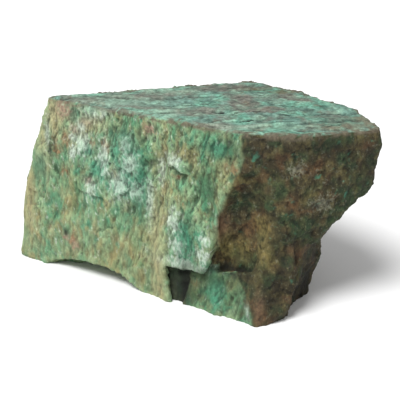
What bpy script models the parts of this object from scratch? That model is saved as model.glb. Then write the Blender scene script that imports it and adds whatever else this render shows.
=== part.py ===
"""A rough block of nephrite jade, broken out of its vein: one natural piece, in metres, +Z up.

The block is bounded by its fracture faces and stands on a foot at the front. A notch, a scoop and a
low arch are broken out of it. Its surface is then roughened: slaty ledges cover the top, clumps hang
down the long face and the rest is a chipped rind. It rests on a flat underside, and its origin is
the middle of its bounding box's lowest face.
"""

import math

import bmesh
import bpy
import numpy as np
from mathutils import Matrix, Vector, noise

MM = 0.001

# Driving sizes, in millimetres: the whole rock along X, Y and Z, and what it is broken out by
SIZE = (200.3, 134.2, 98.7)
HEIGHT = 97.0
BLANK = 400.0
UNDER_CUT = 1.0
VOXEL = 1.5
TRIANGLES = 9400
NOTCH_TOP = 19.5
LEDGE_TOP = 33.0
SHOULDER_TOP = 66.0
DARK_CORNER_TOP = 38.0

# Each fracture face is a point on it in millimetres, the bearing that it looks to in degrees
# anticlockwise from +X, and its lean: above 0 it looks up, and below 0 it undercuts.
UNDERSIDE = ((0, 0, -UNDER_CUT), 0, -90)
LONG_FACE = ((21, -44, HEIGHT), 236, 7)
FOOT_FRONT = ((10, -49, 0), 236, 18)
BLOCK_FACES = (
    UNDERSIDE,
    LONG_FACE,
    ((0, 0, HEIGHT), 250, 89.7),  # top
    ((-85.3, 24, HEIGHT), 172, 18),  # left end, upper part
    ((-104, 34, 40), 178, 4),  # left end, lower part
    ((-104, 29, 0), 217, -35),  # left end, under its front corner
    ((40, -48, HEIGHT), 266, 2),  # brown face, near the corner
    ((57, -49, HEIGHT), 292, -6),  # brown face, right part
    ((91, -30, HEIGHT), 8, -6),  # right end
    ((92, -33, 69), 342, -44),  # undercut below the right end
    ((59, 39, HEIGHT), 37, -10),  # back, right part
    ((45, 59, HEIGHT), 60, -6),  # back, right of the middle
    ((10, 63.5, HEIGHT), 106, 5),  # back, middle
    ((-50, 43.5, HEIGHT), 108, 16),  # back, left part
)
FOOT_FACES = (
    UNDERSIDE,
    FOOT_FRONT,
    ((60, 0, 62), 40, 76),  # top, inside the block
    ((27, -61, 0), 281, 22),  # brown face of the foot
    ((40, -54.5, 0), 313, -19),  # undercut at its right corner
    ((60, -38, 33), 345, -8),  # right side
    ((64, -8, 33), 14, -14),  # right side, rear part
    ((48, 32, 33), 44, -12),  # back, right part
    ((-9, -36, 0), 180, 15),  # inner side, in the notch
    ((0, 50, 0), 90, 0),  # back, inside the block
)
# Carries the foot's front corner up into the block
SHOULDER_FACES = (
    ((0, 0, 12), 0, -90),
    ((0, 0, SHOULDER_TOP), 0, 90),
    FOOT_FRONT,
    ((31, -53, 26), 275, 0),  # side of the corner
    ((31, -53, 26), 275, 11),  # above it, back to the block
    ((16, 0, 0), 180, 0),
    ((47, 0, 0), 0, 0),
    ((0, -30, 0), 90, 0),
)
# What is broken out between flat walls: a cutter's face looks the other way than the rock's
NOTCH_FACES = (
    ((0, 0, NOTCH_TOP), 0, 90),
    ((-15.8, -33.9, 0), 188, -8.7),  # left wall
    ((-12.5, -31.2, 0), 58, -14),  # back
)
LEDGE_FACES = (
    ((0, 0, LEDGE_TOP), 0, 90),
    ((2.6, -39.7, 20.3), 180, 21),  # right edge of the flake over the foot
    ((10, -49, 0), 56, -18),  # in front of the foot
)
DARK_CORNER_FACES = (
    ((0, 0, DARK_CORNER_TOP), 0, 90),
    ((46, -46, 0), 169, 11),  # right edge of the brown face
    ((52.2, -31.6, 0), 145, 10),  # wall behind it
)

# What is broken out in a shell-like way: the centre and three radii of a stretched ball in
# millimetres, its tilt to the right in degrees, and the flat faces that it ends at
SCOOP_FLOOR = ((13, -42.2, 21.6), 267, -63)
HOLLOWS = {
    "scoop": ((16, -58, 36), (16.5, 21, 51), 14, (SCOOP_FLOOR,)),
    "scoop_foot": ((12.5, -44, 29), (7, 9, 13), 0, (SCOOP_FLOOR,)),
    "arch": ((-66, -4, -20), (60, 36, 29), 0, ()),
    "rear_scoop": ((-36, 118, 40), (72, 70, 56), -18, ()),
    "rear_corner_scoop": ((98, 48, 28), (56, 56, 52), 25, ()),
}

# The front corner, where the long face ends and the rind begins: its places across at these heights
CORNER_HEIGHTS = (0, 11, 15, 20, 23, 24, 33, 38, 53, 63, 71, 78, 85, 99)
CORNER_ACROSS = (27, 26, 25, 27, 31, 5, 7, 8, 9.5, 13, 16, 20, 22, 21)
# How often wear has averaged the rim of the top, and its right corner more
RIM_ROUNDS = 2
RIGHT_CORNER_ROUNDS = 8

# Relief, in millimetres. A pair is the size of the forms and how far they stand out, and chips
# have their size and their slope.
LUMPS = (26.0, 1.5)
KNOBS = (9.0, 0.7)
COARSE_CHIPS = (18.0, 0.07)
RIND_CHIPS = (12.0, 0.10)
FINE_RIND_CHIPS = (5.0, 0.08)
CLUMPS = (12.0, 0.13)
FINE_CLUMPS = (6.0, 0.12)
ROUGHNESS = (8.0, 1.3)
TREAD_DEPTH = 30.0
LEDGE_RISE = 1.2
GRAIN_LEAN = 0.22
ENDS = (88.0, 104.0)
# Shelves on the long face: x and z of the lip, half its length, its rise and how far it fades upward
SHELVES = (
    (-11, 73, 6, 2.6, 12),
    (-60, 48, 10, 1.4, 12),
    (-38, 66, 9, 1.2, 12),
    (-84, 62, 7, 1.4, 12),
)
# The valley down the long face: where its line runs across at these heights, and its depth there
VALLEY_HEIGHTS = (0, 12, 32, 43, 64, 84, 94)
VALLEY_ACROSS = (-26, -27, -29, -27, -22, -21, -20)
VALLEY_DEPTHS = (2, 2.6, 4, 4, 4, 2.4, 0)
VALLEY_LEFT = 17.0
VALLEY_RIGHT = 8.0


def direction(bearing, lean):
    """The unit vector that looks to a bearing and up by a lean, both in degrees."""
    turn = math.radians(bearing)
    rise = math.radians(lean)
    level = math.cos(rise)
    return Vector((math.cos(turn) * level, math.sin(turn) * level, math.sin(rise)))


def blend(value, low, high):
    """0 below low, 1 above high, and a smooth rise between them."""
    share = min(max((value - low) / (high - low), 0.0), 1.0)
    return share * share * (3 - 2 * share)


def new_collection(name):
    group = bpy.data.collections.new(name)
    bpy.context.scene.collection.children.link(group)
    return group


def split_away(shape, faces):
    """Cuts off what lies outside each fracture face and closes the wound."""
    for point, bearing, lean in faces:
        cut = bmesh.ops.bisect_plane(
            shape,
            geom=shape.verts[:] + shape.edges[:] + shape.faces[:],
            dist=1e-7,
            plane_co=Vector(point) * MM,
            plane_no=direction(bearing, lean),
            clear_outer=True,
        )
        rim = [part for part in cut["geom_cut"] if isinstance(part, bmesh.types.BMEdge)]
        if rim:
            bmesh.ops.contextual_create(shape, geom=rim)
    bmesh.ops.recalc_face_normals(shape, faces=shape.faces[:])


def object_from(shape, name, group):
    mesh = bpy.data.meshes.new(name)
    shape.to_mesh(mesh)
    shape.free()
    item = bpy.data.objects.new(name, mesh)
    group.objects.link(item)
    return item


def broken_block(name, faces, group):
    """A blank cube with its sides broken off along the fracture faces."""
    shape = bmesh.new()
    bmesh.ops.create_cube(shape, size=BLANK * MM)
    split_away(shape, faces)
    return object_from(shape, name, group)


def hollow(name, ball, group):
    """A stretched ball, for a shell-like break."""
    centre, radii, tilt, faces = ball
    shape = bmesh.new()
    bmesh.ops.create_uvsphere(shape, u_segments=48, v_segments=32, radius=1)
    bmesh.ops.scale(shape, verts=shape.verts, vec=Vector(radii) * MM)
    turn = Matrix.Rotation(math.radians(tilt), 3, "Y")
    bmesh.ops.rotate(shape, verts=shape.verts, matrix=turn)
    bmesh.ops.translate(shape, verts=shape.verts, vec=Vector(centre) * MM)
    split_away(shape, faces)
    return object_from(shape, name, group)


def as_guide(item):
    item.hide_render = True
    item.display_type = "WIRE"
    return item


def combine(item, operation, other):
    modifier = item.modifiers.new(other.name, "BOOLEAN")
    modifier.operation = operation
    modifier.object = other
    modifier.solver = "EXACT"


def remesh(item):
    modifier = item.modifiers.new("even_mesh", "REMESH")
    modifier.mode = "VOXEL"
    modifier.voxel_size = VOXEL * MM


def thin_out(item, triangles):
    """Fewer faces where the surface is nearly flat."""
    modifier = item.modifiers.new("thin_out", "DECIMATE")
    modifier.use_collapse_triangulate = True
    modifier.ratio = triangles / (2 * len(item.data.polygons))


def settle(item):
    """Makes what the modifiers give the object's own mesh."""
    graph = bpy.context.evaluated_depsgraph_get()
    item.data = bpy.data.meshes.new_from_object(item.evaluated_get(graph))
    item.modifiers.clear()


def wear_rim(item):
    """Rounds the rim of the top, most of all at its right corner."""
    shape = bmesh.new()
    shape.from_mesh(item.data)
    rim = [vertex for vertex in shape.verts if vertex.co.z > (HEIGHT - 5) * MM]
    corner = [vertex for vertex in rim if vertex.co.x > 75 * MM]
    for worn, rounds in ((rim, RIM_ROUNDS), (corner, RIGHT_CORNER_ROUNDS)):
        for _ in range(rounds):
            bmesh.ops.smooth_vert(
                shape, verts=worn, factor=0.5, use_axis_x=True, use_axis_y=True, use_axis_z=True
            )
    shape.to_mesh(item.data)
    shape.free()
    item.data.update()


def chips(point, size, tilt):
    """Shell-like breaks of one size, each with its own slope, that meet in sharp edges."""
    heights = []
    for centre in noise.voronoi(point / size)[1][:3]:
        off = point / size - centre
        slope = noise.cell_vector(centre * 31) - Vector((0.5, 0.5, 0.5))
        heights.append(2 * off.dot(slope) + 1.2 * off.length_squared)
    return size * tilt * min(heights)


def slaty_ledges(point):
    """Broad treads that end in short low risers."""
    field = 1.2 * noise.noise(Vector((point.x / 45, point.y / TREAD_DEPTH, 5)))
    field += point.y / TREAD_DEPTH + 0.15 * noise.noise(Vector((point.x / 12, point.y / 9, 3)))
    tread = field - math.floor(field)
    return LEDGE_RISE * (min(tread * 7, 1) - tread - 0.4)


def clumps(point):
    """Angular clumps that hang along the grain, rougher towards the top."""
    grain = Vector((point.x - GRAIN_LEAN * point.z, point.y, point.z / 2))
    rough = 0.45 + 0.75 * blend(point.z + 0.2 * point.x, 10, 60)
    size, rise = ROUGHNESS
    height = chips(grain, *CLUMPS) + chips(grain, *FINE_CLUMPS) * rough
    return height + rise * rough * noise.fractal(grain / size, 0.6, 2.2, 2)


def valley(point):
    """A trough down the long face, gentle on its left and steep on its right."""
    off = point.x - np.interp(point.z, VALLEY_HEIGHTS, VALLEY_ACROSS) + 1.5 * noise.noise(point / 7)
    depth = np.interp(point.z, VALLEY_HEIGHTS, VALLEY_DEPTHS)
    if off > 0:
        return -depth * (1 - blend(off, 0, VALLEY_RIGHT))
    return -depth * math.exp(-((off / VALLEY_LEFT) ** 2))


def shelves(point):
    """Short lips that stand out sharply at their foot and fade upward."""
    height = 0
    for lip_x, lip_z, half_length, rise, fade in SHELVES:
        above = point.z - lip_z + 0.2 * (point.x - lip_x) + 3 * noise.noise(point / 5)
        ends = blend(half_length - abs(point.x - lip_x), 0, 4)
        height += rise * ends * blend(above, -1, 0.6) * math.exp(-max(above, 0) / fade)
    return height


def relief(point, normal):
    """How far the surface stands out at a point, in millimetres."""
    top = blend(normal.z, 0.6, 0.85)
    corner = np.interp(point.z, CORNER_HEIGHTS, CORNER_ACROSS)
    brown = (1 - top) * blend(point.x - corner, -1, 1)
    green = 1 - top - brown
    height = LUMPS[1] * noise.noise(point / LUMPS[0]) * (1 - 0.5 * top)
    height += KNOBS[1] * noise.noise(point / KNOBS[0] + Vector((9, 4, 1))) * (1 - 0.6 * top)
    height += chips(point, *COARSE_CHIPS) * (1 - 0.6 * top)
    height += slaty_ledges(point) * top
    height += (clumps(point) + valley(point) + shelves(point)) * green
    height += (chips(point, *RIND_CHIPS) + chips(point, *FINE_RIND_CHIPS)) * brown
    return height * (1 - 0.5 * blend(abs(point.x + 8), *ENDS))


def averaged_normals(shape):
    """Each vertex's normal with those of its neighbours, so that relief stays whole at sharp edges."""
    normals = []
    for vertex in shape.verts:
        around = [edge.other_vert(vertex).normal for edge in vertex.link_edges]
        normals.append(sum(around, vertex.normal.copy()).normalized())
    return normals


def roughen(item):
    shape = bmesh.new()
    shape.from_mesh(item.data)
    moves = []
    for vertex, normal in zip(shape.verts, averaged_normals(shape)):
        moves.append(normal * relief(vertex.co / MM, normal) * MM)
    for vertex, move in zip(shape.verts, moves):
        vertex.co += move
    shape.to_mesh(item.data)
    shape.free()


def stand_on_origin(item):
    """Gives the rock its driving size, with its bounding box standing centred on the origin."""
    places = np.array([vertex.co for vertex in item.data.vertices])
    low = places.min(axis=0)
    high = places.max(axis=0)
    foot = Vector(((low[0] + high[0]) / 2, (low[1] + high[1]) / 2, low[2]))
    stretch = np.array(SIZE) * MM / (high - low)
    item.data.transform(Matrix.Diagonal((*stretch, 1)) @ Matrix.Translation(-foot))


def nephrite():
    """Weathered nephrite: green, with a dull broken surface."""
    material = bpy.data.materials.new("nephrite")
    material.use_nodes = True
    shader = material.node_tree.nodes["Principled BSDF"]
    shader.inputs["Base Color"].default_value = (0.17, 0.25, 0.15, 1)
    shader.inputs["Roughness"].default_value = 0.78
    shader.inputs["Metallic"].default_value = 0.0
    return material


def build_rock():
    parts = new_collection("nephrite_jade_rock")
    cutters = new_collection("cutters")
    rock = broken_block("jade_rock", BLOCK_FACES, parts)
    combine(rock, "DIFFERENCE", as_guide(broken_block("notch", NOTCH_FACES, cutters)))
    combine(rock, "DIFFERENCE", as_guide(broken_block("ledge", LEDGE_FACES, cutters)))
    combine(rock, "UNION", as_guide(broken_block("foot", FOOT_FACES, cutters)))
    combine(rock, "UNION", as_guide(broken_block("shoulder", SHOULDER_FACES, cutters)))
    combine(rock, "DIFFERENCE", as_guide(broken_block("dark_corner", DARK_CORNER_FACES, cutters)))
    for name, ball in HOLLOWS.items():
        combine(rock, "DIFFERENCE", as_guide(hollow(name, ball, cutters)))
    remesh(rock)
    settle(rock)
    wear_rim(rock)
    roughen(rock)
    thin_out(rock, TRIANGLES)
    ground = as_guide(broken_block("ground", (((0, 0, 0), 0, 90),), cutters))
    combine(rock, "DIFFERENCE", ground)
    settle(rock)
    rock.data.materials.clear()
    rock.data.materials.append(nephrite())
    stand_on_origin(rock)


for leftover in list(bpy.data.objects):
    bpy.data.objects.remove(leftover, do_unlink=True)
build_rock()
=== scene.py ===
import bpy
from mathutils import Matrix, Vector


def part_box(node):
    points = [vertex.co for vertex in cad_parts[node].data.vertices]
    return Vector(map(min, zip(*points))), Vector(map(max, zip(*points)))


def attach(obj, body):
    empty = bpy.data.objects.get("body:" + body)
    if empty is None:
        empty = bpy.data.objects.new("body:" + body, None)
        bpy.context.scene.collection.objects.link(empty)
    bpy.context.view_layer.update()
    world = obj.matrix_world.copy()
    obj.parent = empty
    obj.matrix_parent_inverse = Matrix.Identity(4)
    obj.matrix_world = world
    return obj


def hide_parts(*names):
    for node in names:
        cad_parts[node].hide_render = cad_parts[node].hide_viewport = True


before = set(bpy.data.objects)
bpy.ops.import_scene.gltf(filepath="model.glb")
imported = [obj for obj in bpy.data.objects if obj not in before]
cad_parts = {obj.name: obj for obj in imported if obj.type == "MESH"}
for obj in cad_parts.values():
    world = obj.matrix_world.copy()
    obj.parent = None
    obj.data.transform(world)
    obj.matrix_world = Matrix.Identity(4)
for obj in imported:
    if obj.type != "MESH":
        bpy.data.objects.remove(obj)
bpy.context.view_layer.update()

import math

import bpy
import numpy as np
from mathutils import Vector, noise

# ---------------------------------------------------------------------------------------------
# The rock: one block of nephrite, a felted green jade, as it broke out of its vein. A blank is
# broken along its fracture faces and given a foot, and a notch, a scoop and an arch are broken
# out. An even skin about 1 mm fine then carries the small relief of each kind of break.
# ---------------------------------------------------------------------------------------------
# The frame is in metres, and the sizes here are in millimetres.
MM = 0.001
# The height of the top, the side of the blank that the block is broken from, how far it runs
# below the floor before it is worn flat there, and the fineness of its skin
HEIGHT = 97.0
BLANK = 400.0
UNDER_CUT = 1.0
SKIN = 1.0

# A fracture face is a point on it in millimetres, the bearing that it looks to in degrees
# anticlockwise from +X, and its lean: above 0 it looks up, and below 0 it undercuts.
UNDERSIDE = ((0, 0, -UNDER_CUT), 0, -90)
LONG_FACE = ((21, -44, HEIGHT), 236, 7)
FOOT_FRONT = ((10, -49, 0), 236, 18)
BLOCK_FACES = (
    UNDERSIDE,
    LONG_FACE,
    ((0, 0, HEIGHT), 250, 89.7),  # top
    ((-85.3, 24, HEIGHT), 172, 18),  # left end, upper part
    ((-104, 34, 40), 178, 4),  # left end, lower part
    ((-104, 29, 0), 217, -35),  # left end, under its front corner
    ((40, -48, HEIGHT), 266, 2),  # brown face, near the corner
    ((57, -49, HEIGHT), 292, -6),  # brown face, right part
    ((91, -30, HEIGHT), 8, -6),  # right end
    ((92, -33, 69), 342, -44),  # undercut below the right end
    ((59, 39, HEIGHT), 37, -10),  # back, right part
    ((45, 59, HEIGHT), 60, -6),  # back, right of the middle
    ((10, 63.5, HEIGHT), 106, 5),  # back, middle
    ((-50, 43.5, HEIGHT), 108, 16),  # back, left part
)
# The foot, which stands out to the front below the brown face
FOOT_FACES = (
    UNDERSIDE,
    ((60, 0, 62), 40, 76),  # top, inside the block
    FOOT_FRONT,
    ((27, -61, 0), 281, 22),  # brown face of the foot
    ((40, -54.5, 0), 313, -19),  # undercut at its right corner
    ((60, -38, 33), 345, -8),  # right side
    ((64, -8, 33), 14, -14),  # right side, rear part
    ((48, 32, 33), 44, -12),  # back, right part
    ((-9, -36, 0), 180, 15),  # inner side, in the notch
    ((0, 50, 0), 90, 0),
)
# The shoulder that carries the foot's corner up into the brown face
SHOULDER_FACES = (
    ((0, 0, 12), 0, -90),
    FOOT_FRONT,
    ((31, -53, 26), 275, 0),  # brown side of the foot's corner
    ((31, -53, 26), 275, 11),  # above it, back to the block
    ((0, 0, 66), 0, 90),
    ((16, 0, 0), 180, 0),
    ((47, 0, 0), 0, 0),
    ((0, -30, 0), 90, 0),
)
# What is broken out of the block and its foot between flat walls
NOTCH_FACES = (
    ((0, 0, 19.5), 0, 90),
    ((-15.8, -33.9, 0), 188, -8.7),  # left wall of the notch
    ((-12.5, -31.2, 0), 58, -14),  # back of the notch
)
LEDGE_FACES = (
    ((0, 0, 33), 0, 90),
    ((2.6, -39.7, 20.3), 180, 21),  # right edge of the flake
    ((10, -49, 0), 56, -18),  # in front of the foot's green face
)
DARK_CORNER_FACES = (
    ((0, 0, 38), 0, 90),
    ((46, -46, 0), 169, 11),  # right edge of the brown face
    ((52.2, -31.6, 0), 145, 10),  # dark wall behind it
)
# What is broken out of them in a shell-like way: the middle and three radii of a stretched ball,
# its tilt to the right in degrees, and the flat faces that it ends at
SCOOP_FLOOR = ((13, -42.2, 21.6), 267, -63)
HOLLOWS = (
    ((16, -58, 36), (16.5, 21, 51), 14, (SCOOP_FLOOR,)),  # the scoop
    ((12.5, -44, 29), (7, 9, 13), 0, (SCOOP_FLOOR,)),  # its deep left part, beside the flake
    ((-66, -4, -20), (60, 36, 29), 0, ()),  # the arch under the long face
    ((-36, 118, 40), (72, 70, 56), -18, ()),  # a shallow dish in the back
    ((98, 48, 28), (56, 56, 52), 25, ()),  # a shallow dish in the back's right part
)


def looking(bearing, lean):
    """The unit vector that looks to a bearing and up by a lean, both in degrees."""
    turn, rise = math.radians(bearing), math.radians(lean)
    level = math.cos(rise)
    return Vector((math.cos(turn) * level, math.sin(turn) * level, math.sin(rise)))


def break_along(faces):
    """Splits the active shape along fracture faces and drops what lies outside them."""
    bpy.ops.object.mode_set(mode="EDIT")
    for point, bearing, lean in faces:
        bpy.ops.mesh.select_all(action="SELECT")
        bpy.ops.mesh.bisect(plane_co=Vector(point) * MM, plane_no=looking(bearing, lean),
                            use_fill=True, clear_outer=True)
    bpy.ops.mesh.select_all(action="SELECT")
    bpy.ops.mesh.normals_make_consistent(inside=False)
    bpy.ops.object.mode_set(mode="OBJECT")
    return bpy.context.object


def broken_blank(faces):
    """A block broken out of a blank along its fracture faces."""
    bpy.ops.object.select_all(action="DESELECT")
    bpy.ops.mesh.primitive_cube_add(size=BLANK * MM)
    return break_along(faces)


def in_fixed_order(shape):
    """Puts the faces in a fixed order, for those of a new ball come in a random one."""
    places = [point.co.copy() for point in shape.data.vertices]
    faces = []
    for face in shape.data.polygons:
        around = list(face.vertices)
        first = around.index(min(around))
        faces.append(around[first:] + around[:first])
    shape.data.clear_geometry()
    shape.data.from_pydata(places, [], sorted(faces))
    return shape


def hollow(centre, radii, tilt, faces):
    """A stretched ball, in the shape of a shell-like break."""
    bpy.ops.object.select_all(action="DESELECT")
    bpy.ops.mesh.primitive_uv_sphere_add(segments=96, ring_count=64, radius=1)
    ball = in_fixed_order(bpy.context.object)
    ball.scale = Vector(radii) * MM
    ball.rotation_euler.y = math.radians(tilt)
    ball.location = Vector(centre) * MM
    bpy.ops.object.transform_apply(location=True, rotation=True, scale=True)
    return break_along(faces) if faces else ball


def combined(operation, other):
    """Joins another shape to the stone, or breaks it out, and removes that shape."""
    modifier = stone.modifiers.new("combine", "BOOLEAN")
    modifier.operation = operation
    # The exact solver loses the whole stone at the last of the hollows.
    modifier.solver = "MANIFOLD"
    modifier.object = other
    bpy.context.view_layer.objects.active = stone
    bpy.ops.object.modifier_apply(modifier=modifier.name)
    bpy.data.objects.remove(other)


stone = broken_blank(BLOCK_FACES)
stone.name = "nephrite_stone"
stone.data.name = "nephrite_stone"
combined("DIFFERENCE", broken_blank(NOTCH_FACES))
combined("DIFFERENCE", broken_blank(LEDGE_FACES))
combined("UNION", broken_blank(FOOT_FACES))
combined("UNION", broken_blank(SHOULDER_FACES))
combined("DIFFERENCE", broken_blank(DARK_CORNER_FACES))
for centre, radii, tilt, faces in HOLLOWS:
    combined("DIFFERENCE", hollow(centre, radii, tilt, faces))
skin = stone.modifiers.new("skin", "REMESH")
skin.mode = "VOXEL"
skin.voxel_size = SKIN * MM
skin.use_smooth_shade = True
bpy.ops.object.modifier_apply(modifier=skin.name)

# The front corner, where the green long face ends and the brown rind begins: its places across
# at these heights, in millimetres. It runs down the scoop's left rim and then out to the foot.
CORNER_HEIGHTS = (0, 11, 15, 20, 23, 24, 33, 38, 53, 63, 71, 78, 85, 99)
CORNER_ACROSS = (27, 25, 23, 20, 19, 5, 7, 8, 9.5, 13, 16, 20, 22, 21)
# How far across the grain drifts for each millimetre up, which is a lean of about 12 degrees
GRAIN_SLOPE = 0.22
# How many rounds of wear the top's rim has had, and how many more its right corner
RIM_WEAR = 3
CORNER_WEAR = 12


def read_vectors(field, name):
    """One row of three numbers for each item of a mesh field."""
    flat = np.empty(len(field) * 3, np.float32)
    field.foreach_get(name, flat)
    return flat.reshape(-1, 3).astype(np.float64)


def smooth_step(values, low, high):
    """Runs softly from 0 at low to 1 at high, for many values at once."""
    share = np.clip((values - low) / (high - low), 0, 1)
    return share * share * (3 - 2 * share)


edges = np.empty(len(stone.data.edges) * 2, np.int64)
stone.data.edges.foreach_get("vertices", edges)
edges = edges.reshape(-1, 2)
ways = np.concatenate([edges, edges[:, ::-1]])
neighbours = np.bincount(ways[:, 0], minlength=len(stone.data.vertices))


def averaged(values, rounds):
    """The values with each point given the mean of its neighbours, so many times over."""
    for _ in range(rounds):
        sums = [np.bincount(ways[:, 0], weights=column[ways[:, 1]]) for column in values.T]
        values = np.stack(sums, axis=1) / neighbours[:, None]
    return values


# Wear has rounded the rim of the top, and its right corner most of all.
points = read_vectors(stone.data.vertices, "co") / MM
rim = smooth_step(points[:, 2], HEIGHT - 9, HEIGHT - 3)[:, None]
points += rim * (averaged(points, RIM_WEAR) - points)
right_corner = rim * smooth_step(points[:, 0], 68, 84)[:, None]
points += right_corner * (averaged(points, CORNER_WEAR) - points)
stone.data.vertices.foreach_set("co", (points * MM).astype(np.float32).ravel())
stone.data.update()
normals = averaged(read_vectors(stone.data.vertices, "normal"), 2)
normals /= np.linalg.norm(normals, axis=1)[:, None]
soft_normals = averaged(normals, 3)
soft_normals /= np.linalg.norm(soft_normals, axis=1)[:, None]

# The kinds of surface, each from 0 to 1 at every point: the slaty top, the brown rind and the
# green break. Round the back the rind thins out slowly, along a line that leans with the grain.
corner = np.interp(points[:, 2], CORNER_HEIGHTS, CORNER_ACROSS)
at_front = smooth_step(-points[:, 1], 2, 8)
past_corner = at_front * smooth_step(points[:, 0] - corner, -1, 1)
past_corner += (1 - at_front) * smooth_step(points[:, 0] - GRAIN_SLOPE * points[:, 2], 0, 24)
top = smooth_step(soft_normals[:, 2], 0.6, 0.85) * smooth_step(points[:, 2], 80, 88)
behind_foot = (FOOT_FRONT[0] - points) @ looking(*FOOT_FRONT[1:])
in_scoop = at_front * smooth_step(behind_foot, 1.5, 3) * smooth_step(points[:, 0], 2, 5)
# The notch under the flake, which is painted near-black there as shade
painted_notch_shade = at_front * smooth_step(behind_foot, 0.2, 1.0) * smooth_step(21.5 - points[:, 2], 0, 1)
painted_notch_shade *= smooth_step(-points[:, 0], 1, 5) * smooth_step(points[:, 0], -22, -20)
brown = (1 - top) * np.maximum(past_corner, in_scoop)
green = 1 - top - brown
# 1 along the rim of the top, 0 away from it
edge_share = 1 - np.abs(2 * smooth_step(averaged(top[:, None], 12)[:, 0], 0, 1) - 1)

# Relief, in millimetres: how far the broad lumps, the small knobs and the top's ledges stand out.
# The noises below are moved apart by a vector each, so that no two of them run together.
LUMP_RISE = 1.5
KNOB_RISE = 0.5
LEDGE_RISE = 1.2
# Short lips on the long face: across, height, half length, rise, and how far they fade upward
SHELVES = ((-11, 73, 7, 3.2, 12), (-60, 48, 10, 1.0, 12), (-38, 66, 9, 1.2, 12))
# The valley down the long face: where its line runs across at these heights, and its depth there
VALLEY_HEIGHTS = (0, 12, 32, 43, 64, 84, 94)
VALLEY_ACROSS = (-26, -27, -29, -27, -22, -21, -20)
VALLEY_DEPTHS = (2, 2.6, 4, 4, 4, 2.4, 0)
VALLEY_LEFT = 17.0
VALLEY_RIGHT = 8.0


def chips(point, size, tilt):
    """Shell-like breaks of one size, each with its own slope, that meet in sharp edges."""
    heights = []
    for centre in noise.voronoi(point / size)[1][:3]:
        off = point / size - centre
        slope = noise.cell_vector(centre * 31) - Vector((0.5, 0.5, 0.5))
        heights.append(2 * off.dot(slope) + 1.2 * off.length_squared)
    return size * tilt * min(heights)


def step_up(value, low, high):
    """Runs softly from 0 at low to 1 at high, for one value."""
    share = min(max((value - low) / (high - low), 0.0), 1.0)
    return share * share * (3 - 2 * share)


def slaty_ledges(point):
    """Broad treads that end in short low risers, and a rough felt on them."""
    field = 1.2 * noise.noise(Vector((point.x / 45, point.y / 30, 5))) + point.y / 30
    field += 0.15 * noise.noise(Vector((point.x / 12, point.y / 9, 3)))
    tread = field - math.floor(field)
    height = LEDGE_RISE * (min(tread * 7, 1) - tread - 0.4)
    return height + 0.6 * noise.fractal(Vector((point.x / 9, point.y / 7, 2)), 0.5, 2.2, 4)


def along_grain(point):
    """The point in the grain's own frame: across it, through it, and down it, squeezed by half."""
    return Vector((point.x - GRAIN_SLOPE * point.z, point.y, point.z * 0.5))


def clumps(point):
    """Angular clumps along the grain, rougher upward and to the right, with fibres and pits."""
    grain = along_grain(point)
    rough = 0.45 + 0.75 * step_up(point.z + 0.45 * point.x, 5, 55)
    height = chips(grain, 12, 0.12) + chips(grain, 6, 0.08) * rough
    height += 1.0 * rough * noise.fractal(grain / 8, 0.4, 2.2, 4)
    height -= 1.0 * rough * step_up(noise.noise(grain / 3.4 + Vector((7, 1, 4))), 0.42, 0.7)
    return height + 0.35 * noise.noise(Vector((grain.x / 1.8, grain.y / 3, grain.z / 7)))


def valley(point):
    """A trough down the long face, gentle on its left and steep on its right."""
    off = point.x - np.interp(point.z, VALLEY_HEIGHTS, VALLEY_ACROSS) + 1.5 * noise.noise(point / 7)
    depth = np.interp(point.z, VALLEY_HEIGHTS, VALLEY_DEPTHS)
    if off > 0:
        return -depth * (1 - step_up(off, 0, VALLEY_RIGHT))
    return -depth * math.exp(-((off / VALLEY_LEFT) ** 2))


def shelves(point):
    """Short lips that stand out sharply at their foot and fade upward."""
    height = 0
    for lip_x, lip_z, half_length, rise, fade in SHELVES:
        above = point.z - lip_z + 0.2 * (point.x - lip_x) + 3 * noise.noise(point / 5)
        ends = step_up(half_length - abs(point.x - lip_x), 0, 4)
        height += rise * ends * step_up(above, -1, 0.6) * math.exp(-max(above, 0) / fade)
    return height


def rind(point):
    """A grainy rind with small flat breaks and shallow pits."""
    height = chips(point, 12, 0.10) + chips(point, 5, 0.08)
    height -= 0.5 * step_up(noise.noise(point / 3.2 + Vector((2, 8, 5))), 0.42, 0.6)
    return height + 0.7 * noise.fractal(point / 6, 0.6, 2.2, 4)


def relief(point, on_top, on_green, on_brown):
    """How far the surface stands out at a point, in millimetres."""
    height = LUMP_RISE * noise.noise(point / 26) * (1 - 0.5 * on_top)
    height += KNOB_RISE * noise.noise(point / 9 + Vector((9, 4, 1))) * (1 - 0.6 * on_top)
    height += chips(point, 18, 0.07) * (1 - 0.6 * on_top)
    if on_top > 0:
        height += slaty_ledges(point) * on_top
    if on_green > 0:
        height += (clumps(point) + valley(point) + shelves(point)) * on_green
    if on_brown > 0:
        height += rind(point) * on_brown
    # It fades to half at the far left and right ends.
    return height * (1 - 0.5 * step_up(abs(point.x + 8), 88, 104))


heights = np.array([relief(Vector(p), t, g, b) for p, t, g, b in zip(points, top, green, brown)])

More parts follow.
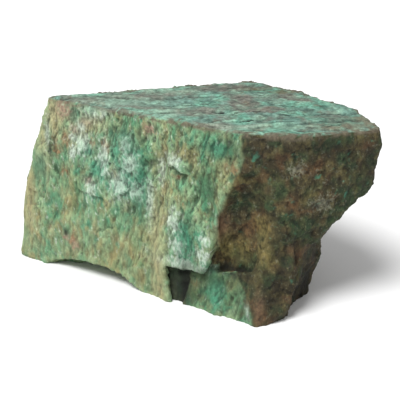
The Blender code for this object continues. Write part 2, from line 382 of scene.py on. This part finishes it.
# Open cracks and pits, each with its two ends in millimetres, its half width and its depth
CRACKS = (
    ((6, -24, 97), (17, -20, 97), 1.0, 1.8),
    ((19, -22, 97), (27, -18, 97), 0.7, 1.2),
    ((-14, 11, 97), (2, 8, 97), 0.6, 1.2),
    ((-30, 16, 97), (-22, 16, 97), 0.6, 1.0),
    ((8, -4, 97), (12, -4, 97), 0.7, 1.0),
    ((19, -6, 97), (26, -3, 97), 0.6, 1.0),
    ((26, -3, 97), (52, -9, 97), 0.5, 0.9),
    ((40, -22, 97), (47, -23, 97), 0.7, 1.0),
    ((52, -9, 97), (62, -7, 97), 0.7, 1.1),
    ((65, -7, 97), (76, -6, 97), 0.7, 1.1),
    ((60, -35, 97), (71, -28, 97), 0.6, 0.9),
    ((-85, 22, 73), (-85, 22, 67), 0.7, 1.4),
    ((-77, 9, 24), (-77, 9, 22), 0.9, 1.4),
    ((-50, 4, 94), (-49, 4, 93), 0.8, 1.2),
    ((2, -34, 66), (-1, -33, 57), 0.4, 0.8),
    ((-14, -25, 72.5), (-8, -29, 71.5), 0.5, 1.0),
)
# They wander by about a millimetre, in the same way on every run.
CRACK_SEED = 2
noise.seed_set(CRACK_SEED)
wobble = np.array([noise.noise_vector(Vector(place) / 4) for place in points]) * 1.2


def reach_of(start, end, half_width):
    """How far each point is inside a crack, from 0 outside it to 1 along its middle."""
    along = np.array(end, float) - start
    share = np.clip((points + wobble - start) @ along / (along @ along), 0, 1)
    far = np.linalg.norm(points + wobble - start - share[:, None] * along, axis=1)
    return 1 - smooth_step(far, 0.3 * half_width, 1.8 * half_width + 0.4)


crack = np.zeros(len(points))
for start, end, half_width, depth in CRACKS:
    reach = reach_of(start, end, half_width)
    heights -= reach * depth
    crack = np.maximum(crack, reach)
points += normals * heights[:, None]
points[:, 2] = np.maximum(points[:, 2], 0)

# The stone is fitted to its solid's box in the frame, from which it differs by under 1%. The
# stains further on are placed on the stone as it was before.
stone_places = points.copy()
low_corner, high_corner = (np.array(corner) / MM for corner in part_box("jade_rock"))
lowest = points.min(axis=0)
fit = (high_corner - low_corner) / np.ptp(points, axis=0)
points = low_corner + (points - lowest) * fit
stone.data.vertices.foreach_set("co", (points * MM).astype(np.float32).ravel())
stone.data.update()


def sunk_below(rounds):
    """How far each point lies below the mean of the points round it, in its usual amounts."""
    depth = ((averaged(points, rounds) - points) * soft_normals).sum(axis=1)
    return depth / depth.std()


# Stains of the sides, with spots of painted shade among them, each with the middle of its spots
# across and up, in millimetres, and their half sizes
SIDE_STAINS = {
    "rust": (
        (-76, 77, 3, 4), (-58, 77, 4, 3), (-52, 76, 4, 4), (-82, 72, 3, 5), (-78, 58, 2, 4),
        (-73, 20, 3, 3), (-11, 69, 3, 1.5), (17, 79, 4, 3), (11, 47, 2, 6), (27, 46, 4, 4),
        (32, 72, 4, 6), (39, 83, 2, 4), (56, 81, 5, 2), (-4, 12, 3, 3), (24, 10, 2, 3),
        (-47, 62, 3, 3), (33, 4, 5, 3), (46, 62, 5, 4), (50, 34, 3, 5),
    ),
    "chalk": (
        (-70, 78, 3, 3), (-59, 93, 5, 4), (-52, 95, 3, 2), (-71, 70, 2, 4), (-53, 70, 3, 8),
        (-61, 51, 3, 5), (-44, 57, 5, 8), (-35, 55, 4, 5), (-14, 44, 3, 7), (2, 38, 2, 3),
        (-8, 22, 12, 3), (-66, 76, 5, 6), (-20, 69, 2, 6), (-14, 77, 4, 3), (-27, 51, 2, 10),
        (24, 6, 1, 3), (62, 60, 6, 3), (48, 80, 4, 3), (-66, 84, 3, 3), (-38, 70, 4, 6),
        (-40, 80, 3, 4), (-87, 78, 1.5, 6), (2, 30, 4, 3), (-12, 31, 3, 4),
    ),
    "teal": (
        (-69, 90, 3, 3), (-60, 96, 4, 3), (-61, 72, 4, 4), (-46, 76, 3, 8), (-8, 36, 4, 8),
        (8, 11, 4, 8), (28, 87, 3, 2), (59, 75, 2, 1.5), (45, 74, 1.5, 1.5), (74, 64, 2, 2),
        (46, 63, 2, 1.5), (88, 58, 2, 2), (8, 87, 4, 4), (-38, 78, 5, 8), (-40, 62, 8, 12),
        (-92, 60, 4, 8), (-33, 60, 5, 14), (-56, 62, 5, 8),
    ),
    "sand": (
        (-24, 40, 3, 16), (-23, 18, 4, 12), (-22, 4, 4, 6), (-101, 40, 4, 26), (-90, 69, 5, 12),
        (-84, 86, 6, 10), (-58, 88, 8, 5),
    ),
    "warm": ((-70, 12, 34, 12), (-98, 36, 9, 30), (-42, 8, 18, 9), (-24, 24, 5, 26)),
    # moss: dark olive along the foot's top and left under the flake's overhang, partly the stone's
    # own green, partly painted shade
    "moss": ((-1, 17, 11, 5), (-5, 10, 5, 8), (12, 18, 12, 3), (20, 20, 6, 3)),
    "tan": (
        (-24, 34, 4, 14), (-22, 18, 5, 12), (-22, 4, 5, 6), (-17, 80, 3, 9), (-17, 60, 3, 14),
        (-66, 80, 4, 3), (-84, 90, 4, 10), (-92, 70, 4, 12), (-101, 40, 4, 26),
        (-36, 26, 6, 14), (-50, 14, 8, 6), (14, 33, 5, 8), (10, 76, 6, 8), (-20, 70, 4, 8),
        (-74, 44, 4, 12), (-32, 8, 4, 8), (32, 48, 4, 5), (34, 34, 4, 6), (22, 34, 5, 6),
    ),
    # deep: deep green patches, and also painted shade down the valley's left bank and over the foot
    # under the flake
    "deep": (
        (8, 11, 15, 9), (-4, 6, 5, 6), (6, 86, 8, 5), (14, 88, 5, 6), (22, 8, 4, 8),
        (4, 66, 5, 9), (-42, 84, 6, 6), (-33, 46, 4, 8), (48, 48, 7, 8), (-7, 42, 3, 8),
        (-31, 66, 3.5, 11), (80, 70, 6, 8), (66, 92, 9, 3), (34, 68, 6, 8), (68, 50, 6, 6),
        (24, 29, 6, 5),
    ),
    "rosy": (
        (-76, 93, 6, 5), (-64, 88, 3, 3), (-62, 56, 3, 2), (-77, 20, 2, 2), (-72, 17, 2, 3),
        (12, 48, 3, 6), (30, 9, 2, 6), (-27, 90, 3, 3), (-70, 82, 3, 3),
    ),
    # umber: partly the rind's own dark umber, partly painted shade, on the foot's brown face, the
    # right edge, the dark corner facet and a band under the top's rim
    "umber": (
        (36, 12, 12, 14), (42, 2, 12, 8), (42, 34, 5, 8), (88, 78, 7, 16), (56, 14, 8, 20),
        (56, 90, 26, 4), (30, 88, 10, 5),
    ),
    # dark: near-black painted as shade in two pits, along the shelf under the flake, in the notch
    # and on the dark corner facet
    "dark": (
        (-85, 70, 1, 4), (-77, 23, 1.5, 2), (14, 22, 11, 1.5), (-8, 10, 2.5, 14), (56, 9, 5, 12),
    ),
}
# Stains of the top, with painted shade among them, and the middle of their spots across and back
TOP_STAINS = {
    "mauve": (
        (-2, -7, 7, 6), (8, -31, 10, 5), (22, 22, 8, 14), (34, 0, 14, 6), (46, 28, 9, 9),
        (8, 52, 14, 6), (25, 54, 12, 5), (66, -14, 8, 4), (-30, 32, 12, 7), (-64, 27, 10, 5),
        (-36, 6, 12, 3), (58, 20, 5, 6), (-14, 40, 8, 8),
    ),
    "olive": ((33, 50, 10, 5), (47, 41, 8, 5)),
    # dusk: darker teal painted as shade over the top's right part
    "dusk": ((64, -16, 14, 10),),
    "bare": ((66, -37, 9, 5), (77, -31, 8, 8), (85, -22, 7, 9), (90, -10, 5, 9)),
    "pale": ((-46, 18, 20, 14), (-20, -4, 14, 8), (20, -34, 20, 5), (-20, 44, 16, 6)),
}


def stained(spots, up_axis, facing):
    """How strongly each point that faces this way is inside its nearest spot, from 0 to 1."""
    strength = np.zeros(len(points))
    for across, up, half_width, half_height in spots:
        far = ((stone_places[:, 0] - across) / half_width) ** 2
        far += ((stone_places[:, up_axis] - up) / half_height) ** 2
        strength = np.maximum(strength, np.exp(-0.7 * far))
    return strength * smooth_step(facing, -0.1, 0.3)


# What colours the stone by its place, kept on its points. The lip is the worn rim of the top.
# Rough is stronger where the stone broke roughly, upward and to the right. Hollow runs from 0 on
# worn edges to 1 in cracks, and is measured over about 1.5 mm and over about 3.5 mm.
lip = smooth_step(points[:, 2], HEIGHT - 3.5, HEIGHT - 1.5) * smooth_step(edge_share, 0.02, 0.2)
ATTRIBUTES = {
    "top": top,
    "brown": brown,
    "lip": lip,
    "crack": crack,
    # notch: where near-black is painted as shade
    "notch": painted_notch_shade,
    "rough": 0.75 + 0.5 * smooth_step(points[:, 2] + 0.45 * points[:, 0], 5, 55),
    "hollow": np.clip(0.5 + 0.17 * sunk_below(2) + 0.17 * sunk_below(12), 0, 1),
}
for name, spots in SIDE_STAINS.items():
    ATTRIBUTES[name] = stained(spots, 2, -soft_normals[:, 1])
for name, spots in TOP_STAINS.items():
    ATTRIBUTES[name] = stained(spots, 1, soft_normals[:, 2])
for name, values in ATTRIBUTES.items():
    field = stone.data.attributes.new(name, "FLOAT", "POINT")
    field.data.foreach_set("value", values.astype(np.float32))

# Nephrite with a weathered skin: broken, never sawn or polished, so it is dull all over and its
# felted fibres give it a fine streaked grain. Chalky, sage and emerald patches hang along the
# grain, iron has stained it rust in places, and its oldest face is a dark olive-brown rind.
nephrite = bpy.data.materials.new("weathered_nephrite")
nephrite.use_nodes = True
tree = nephrite.node_tree
shader = tree.nodes["Principled BSDF"]


def linear(hex_colour):
    """A linear colour from an sRGB hex value."""
    shares = [int(hex_colour[i:i + 2], 16) / 255 for i in (1, 3, 5)]
    curved = [s / 12.92 if s <= 0.04045 else ((s + 0.055) / 1.055) ** 2.4 for s in shares]
    return (*curved, 1)


def add(kind, inputs, **settings):
    """Adds a node with its settings. An input takes a value, or the socket that feeds it."""
    made = tree.nodes.new("ShaderNode" + kind)
    for name, value in settings.items():
        setattr(made, name, value)
    for name, value in inputs.items():
        if isinstance(value, bpy.types.NodeSocket):
            tree.links.new(value, made.inputs[name])
        else:
            made.inputs[name].default_value = value
    return made


# Stains and fibres lean 12 degrees from upright, against the lean of the relief: felted fibres
# cross, and so no straight streaks show.
GRAIN_LEAN = math.radians(12)
place = add("TexCoord", {}).outputs["Object"]
grain = add("Mapping", {"Vector": place, "Rotation": (0, GRAIN_LEAN, 0)}).outputs["Vector"]
fields = {name: add("Attribute", {}, attribute_name=name).outputs["Fac"] for name in ATTRIBUTES}
not_top = add("Math", {0: 1.0, 1: fields["top"]}, operation="SUBTRACT").outputs[0]
zones = {
    "top": fields["top"],
    "brown": fields["brown"],
    "green": add("Math", {0: not_top, 1: fields["brown"]}, operation="SUBTRACT").outputs[0],
    "lip": fields["lip"],
}

# Colour patches, laid one over the other, the broadest first: the zone, the stain that gathers
# them, their colour, their size across, through and down in millimetres, how ragged they are,
# the noise that they start at and are whole at, and how much they cover
PATCHES = (
    # the ground colours of the top and of the rind, which cover them whole
    ("top", None, "#6c8f82", (1, 1, 1), 0, 0, 0.001, 1.0),
    ("brown", None, "#413b26", (1, 1, 1), 0, 0, 0.001, 1.0),
    # the green break
    ("green", None, "#8f8c68", (26, 26, 60), 0, 0.40, 0.60, 0.45),
    ("green", None, "#5c8a72", (22, 22, 44), 0, 0.40, 0.60, 0.50),
    ("green", "tan", "#8f8b60", (10, 10, 24), 0, 0.38, 0.72, 0.80),
    ("green", None, "#5f8d6b", (9, 9, 16), 0, 0.36, 0.66, 0.80),
    ("green", "deep", "#446d4e", (8, 8, 11), 0, 0.46, 0.76, 0.80),
    ("green", None, "#87815b", (6, 6, 13), 0, 0.42, 0.70, 0.55),
    ("green", None, "#90b188", (6, 6, 10), 0, 0.42, 0.70, 0.60),
    ("green", "teal", "#478a6b", (5, 5, 8), 1, 0.46, 0.76, 0.85),
    ("green", None, "#958866", (4.5, 4.5, 9), 0, 0.48, 0.76, 0.35),
    ("green", None, "#4f8d67", (4.5, 4.5, 8), 0, 0.48, 0.76, 0.45),
    ("green", "rust", "#8c6b4b", (4, 4, 6), 2, 0.62, 0.88, 0.85),
    ("green", "rosy", "#957d6c", (3, 3, 3), 2, 0.64, 0.88, 0.90),
    ("green", None, "#4e5f48", (2, 2, 5), 3, 0.54, 0.70, 0.60),
    ("green", "chalk", "#c2cfc0", (2, 2, 3.4), 3, 0.56, 0.82, 0.85),
    # the slaty top
    ("top", None, "#6fac94", (14, 18, 12), 0, 0.36, 0.62, 0.85),
    ("top", "mauve", "#747268", (11, 14, 9), 1, 0.46, 0.78, 0.85),
    ("top", None, "#48675b", (7, 10, 6), 1, 0.44, 0.70, 0.70),
    ("top", "olive", "#5f5c41", (8, 10, 6), 1, 0.62, 0.90, 0.90),
    ("top", "bare", "#6c6856", (6, 10, 6), 1, 0.58, 0.84, 0.90),
    ("top", None, "#93bba2", (7, 8, 5), 1, 0.48, 0.74, 0.60),
    ("top", None, "#30423a", (9, 2.4, 6), 2, 0.58, 0.67, 0.80),
    # the brown rind
    ("brown", None, "#2f2b1b", (8, 8, 9), 0, 0.36, 0.68, 0.75),
    ("brown", "deep", "#2c4229", (8, 8, 8), 0, 0.42, 0.74, 0.80),
    ("brown", "tan", "#645b38", (6, 6, 9), 0, 0.46, 0.80, 0.70),
    ("brown", "rust", "#59422c", (6, 6, 6), 0, 0.52, 0.86, 0.80),
    ("brown", "chalk", "#7c7d6c", (1.8, 1.8, 2), 2, 0.56, 0.78, 0.60),
    ("brown", "teal", "#3f7f66", (4, 4, 4), 1, 0.64, 0.90, 0.85),
    ("brown", None, "#211d14", (1.8, 1.8, 2.2), 3, 0.52, 0.70, 0.65),
    ("brown", None, "#6f6949", (1.4, 1.4, 1.6), 2, 0.56, 0.74, 0.60),
    # the worn rim of the top
    ("lip", None, "#5f5748", (6, 6, 3), 1, 0.34, 0.52, 0.90),
)
# Stains that soak into it evenly, and painted shade: the zone, the stain, its colour and how much
# it covers
GLAZES = (
    ("green", "tan", "#8e865a", 0.40),
    ("green", "sand", "#aaa47e", 0.50),
    ("green", "warm", "#887651", 0.22),
    # deep green, partly painted shade along the valley's left bank and on the foot
    ("green", "deep", "#2b563c", 0.62),
    ("green", "teal", "#438a70", 0.42),
    ("green", "rust", "#8a6f55", 0.25),
    ("green", "rosy", "#957c6a", 0.55),
    ("green", "chalk", "#98b09d", 0.40),
    # dark olive, partly the stone's own green, partly painted shade under the flake's overhang
    ("green", "moss", "#3d4829", 0.65),
    # the rind's dark umber, partly painted shade
    ("green", "umber", "#2c2c1c", 0.50),
    # painted shade, near-black, in the pits, under the flake and in the notch
    ("green", "dark", "#0c110c", 0.92),
    # painted shade, near-black, filling the notch
    ("green", "notch", "#12170e", 0.88),
    ("brown", "deep", "#263a20", 0.50),
    ("brown", "rust", "#63482c", 0.30),
    ("brown", "rosy", "#8c6f55", 0.60),
    ("brown", "tan", "#7a6c3c", 0.45),
    # the rind's dark umber, partly painted shade
    ("brown", "umber", "#231c12", 0.45),
    # painted shade, near-black, under the flake and on the dark corner facet
    ("brown", "dark", "#0b0e08", 0.84),
    ("top", "mauve", "#756a62", 0.40),
    ("top", "olive", "#5c5a40", 0.45),
    ("top", "bare", "#726e5c", 0.60),
    ("top", "pale", "#98ae99", 0.50),
    # painted shade over the top's right part
    ("top", "dusk", "#4c6c5c", 0.35),
)
# How far a stain draws a patch to it, in the noise's own measure, and how far apart in the noise
# the layers are put by their numbers, so that no two of them have the same outline
STAIN_PULL = 0.30
APART = (90, 50, 70)


def laid_over(below, tint, cover):
    """The colour below with a tint over it, where and as much as the cover says."""
    return add("Mix", {0: cover, 6: below, 7: linear(tint)}, data_type="RGBA").outputs[2]


# The ground colour of the green break, and then each layer over it
colour = linear("#74895f")
for zone, stain, tint, size, raggedness, low, high, cover in PATCHES:
    scale = [1 / (millimetres * MM) for millimetres in size]
    away = (high * APART[0], low * APART[1], cover * APART[2])
    spread = add("Mapping", {"Vector": grain, "Scale": scale, "Location": away})
    shape = {"Scale": 1.0, "Detail": raggedness, "Roughness": 0.6, "Distortion": 0.4}
    signal = add("TexNoise", {"Vector": spread.outputs["Vector"], **shape}).outputs["Fac"]
    if stain:
        drawn = add("Math", {0: fields[stain], 1: STAIN_PULL, 2: signal}, operation="MULTIPLY_ADD")
        signal = drawn.outputs[0]
    limits = {"From Min": low, "From Max": high, "To Max": cover}
    shown = add("MapRange", {"Value": signal, **limits}, interpolation_type="SMOOTHSTEP")
    share = add("Math", {0: shown.outputs[0], 1: zones[zone]}, operation="MULTIPLY")
    colour = laid_over(colour, tint, share.outputs[0])
for zone, stain, tint, cover in GLAZES:
    soaked = add("Math", {0: zones[zone], 1: fields[stain]}, operation="MULTIPLY")
    share = add("Math", {0: soaked.outputs[0], 1: cover}, operation="MULTIPLY")
    colour = laid_over(colour, tint, share.outputs[0])

# The grain: felted fibres, far finer in truth and drawn 1.1 mm wide so that they show, and tufts
# of them 2.2 mm wide. Both are about twice as long as wide. They lighten and darken the stone,
# most where it broke roughly, and the fibres stand out by just under a millimetre.
FIBRE_SIZE = (1.1, 1.1, 2.0)
TUFT_SIZE = (2.2, 2.2, 4.5)
GRAIN_STRENGTH = 1.25
GRAIN_RISE = 0.9
fibre_scale = [1 / (millimetres * MM) for millimetres in FIBRE_SIZE]
fibre_place = add("Mapping", {"Vector": grain, "Scale": fibre_scale}).outputs["Vector"]
fibre_shape = {"Scale": 1.0, "Detail": 3.0, "Roughness": 0.75}
fibres = add("TexNoise", {"Vector": fibre_place, **fibre_shape}).outputs["Fac"]
tuft_scale = [1 / (millimetres * MM) for millimetres in TUFT_SIZE]
tuft_place = add("Mapping", {"Vector": grain, "Scale": tuft_scale}).outputs["Vector"]
tuft_shape = {"Scale": 1.0, "Detail": 2.0, "Roughness": 0.6}
tufts = add("TexNoise", {"Vector": tuft_place, **tuft_shape}).outputs["Fac"]
both = add("Math", {0: fibres, 1: tufts}, operation="ADD").outputs[0]
swing = add("Math", {0: both, 1: -1.0}, operation="ADD").outputs[0]
uneven = add("Math", {0: fields["rough"], 1: GRAIN_STRENGTH}, operation="MULTIPLY").outputs[0]
light_and_dark = add("Math", {0: swing, 1: uneven, 2: 1.0}, operation="MULTIPLY_ADD").outputs[0]
# Hollows are darkened as painted shade, worn edges come out a little lighter, and open cracks are
# painted darker still as shade.
hollow_shade_range = {"From Min": 0.35, "From Max": 1.0, "To Min": 1.1, "To Max": 0.45}
painted_hollow_shade = add("MapRange", {"Value": fields["hollow"], **hollow_shade_range}).outputs[0]
depth = {"From Min": 0.2, "From Max": 0.9, "To Min": 1.0, "To Max": 0.15}
painted_crack_shade = add("MapRange", {"Value": fields["crack"], **depth}).outputs[0]
shade = add("Math", {0: light_and_dark, 1: painted_hollow_shade}, operation="MULTIPLY").outputs[0]
shade = add("Math", {0: shade, 1: painted_crack_shade}, operation="MULTIPLY").outputs[0]
shaded = add("VectorMath", {0: colour, "Scale": shade}, operation="SCALE").outputs[0]
tree.links.new(shaded, shader.inputs["Base Color"])
# Nephrite's index is about 1.6, and a weathered break scatters most of its shine.
dull = {"From Min": 0.3, "From Max": 0.7, "To Min": 0.68, "To Max": 0.9}
dullness = add("MapRange", {"Value": fibres, **dull}).outputs[0]
tree.links.new(dullness, shader.inputs["Roughness"])
shader.inputs["IOR"].default_value = 1.6
shader.inputs["Specular IOR Level"].default_value = 0.25
bump = add("Bump", {"Height": fibres, "Strength": 0.8, "Distance": GRAIN_RISE * MM})
tree.links.new(bump.outputs["Normal"], shader.inputs["Normal"])

stone.data.materials.clear()
stone.data.materials.append(nephrite)
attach(stone, "root")
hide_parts("jade_rock")

# ---------------------------------------------------------------------------------------------
# The studio: a sheet of white paper that runs out of sight, one broad window high up to the
# front left, and pale air that lights every side a little.
# ---------------------------------------------------------------------------------------------
bpy.ops.object.select_all(action="DESELECT")
bpy.ops.mesh.primitive_plane_add(size=12)
floor = bpy.context.object
floor.name = "studio_floor"
# Matt white paper, which gives no shine back
paper = bpy.data.materials.new("white_paper")
paper.use_nodes = True
paper_shader = paper.node_tree.nodes["Principled BSDF"]
paper_shader.inputs["Base Color"].default_value = linear("#f3f3f3")
paper_shader.inputs["Roughness"].default_value = 1.0
floor.data.materials.append(paper)

# In degrees: the bearing that the window's light comes from, its height and its breadth
WINDOW_BEARING = 227
WINDOW_HEIGHT = 59
WINDOW_BREADTH = 30
bpy.ops.object.light_add(type="SUN")
window = bpy.context.object
window.name = "window"
window.data.energy = 3.2
window.data.angle = math.radians(WINDOW_BREADTH)
window.rotation_euler = looking(WINDOW_BEARING, WINDOW_HEIGHT).to_track_quat("Z", "Y").to_euler()

air = bpy.data.worlds.new("studio_air")
bpy.context.scene.world = air
air.use_nodes = True
air.node_tree.nodes["Background"].inputs["Color"].default_value = linear("#ffffff")
air.node_tree.nodes["Background"].inputs["Strength"].default_value = 0.5
bpy.context.scene.view_settings.view_transform = "Standard"

# ---------------------------------------------------------------------------------------------
# The camera: an 80 mm lens straight in front, half a metre away, that looks 20 degrees down at
# a point near the middle of the stone.
# ---------------------------------------------------------------------------------------------
# That point in the stone's own millimetres, and then moved as the stone was when it was fitted
NEAR_MIDDLE = np.array([0, 0, 46])
LOOK_AT = Vector(low_corner + (NEAR_MIDDLE - lowest) * fit) * MM
DISTANCE = 494 * MM
ELEVATION = math.radians(20)
bpy.ops.object.camera_add()
camera = bpy.context.object
camera.name = "camera"
camera.data.lens = 80
camera.data.sensor_width = 36
camera.data.clip_start = 0.01
offset = Vector((0, -math.cos(ELEVATION), math.sin(ELEVATION))) * DISTANCE
camera.location = LOOK_AT + offset
camera.rotation_euler = offset.to_track_quat("Z", "Y").to_euler()
bpy.context.scene.camera = camera
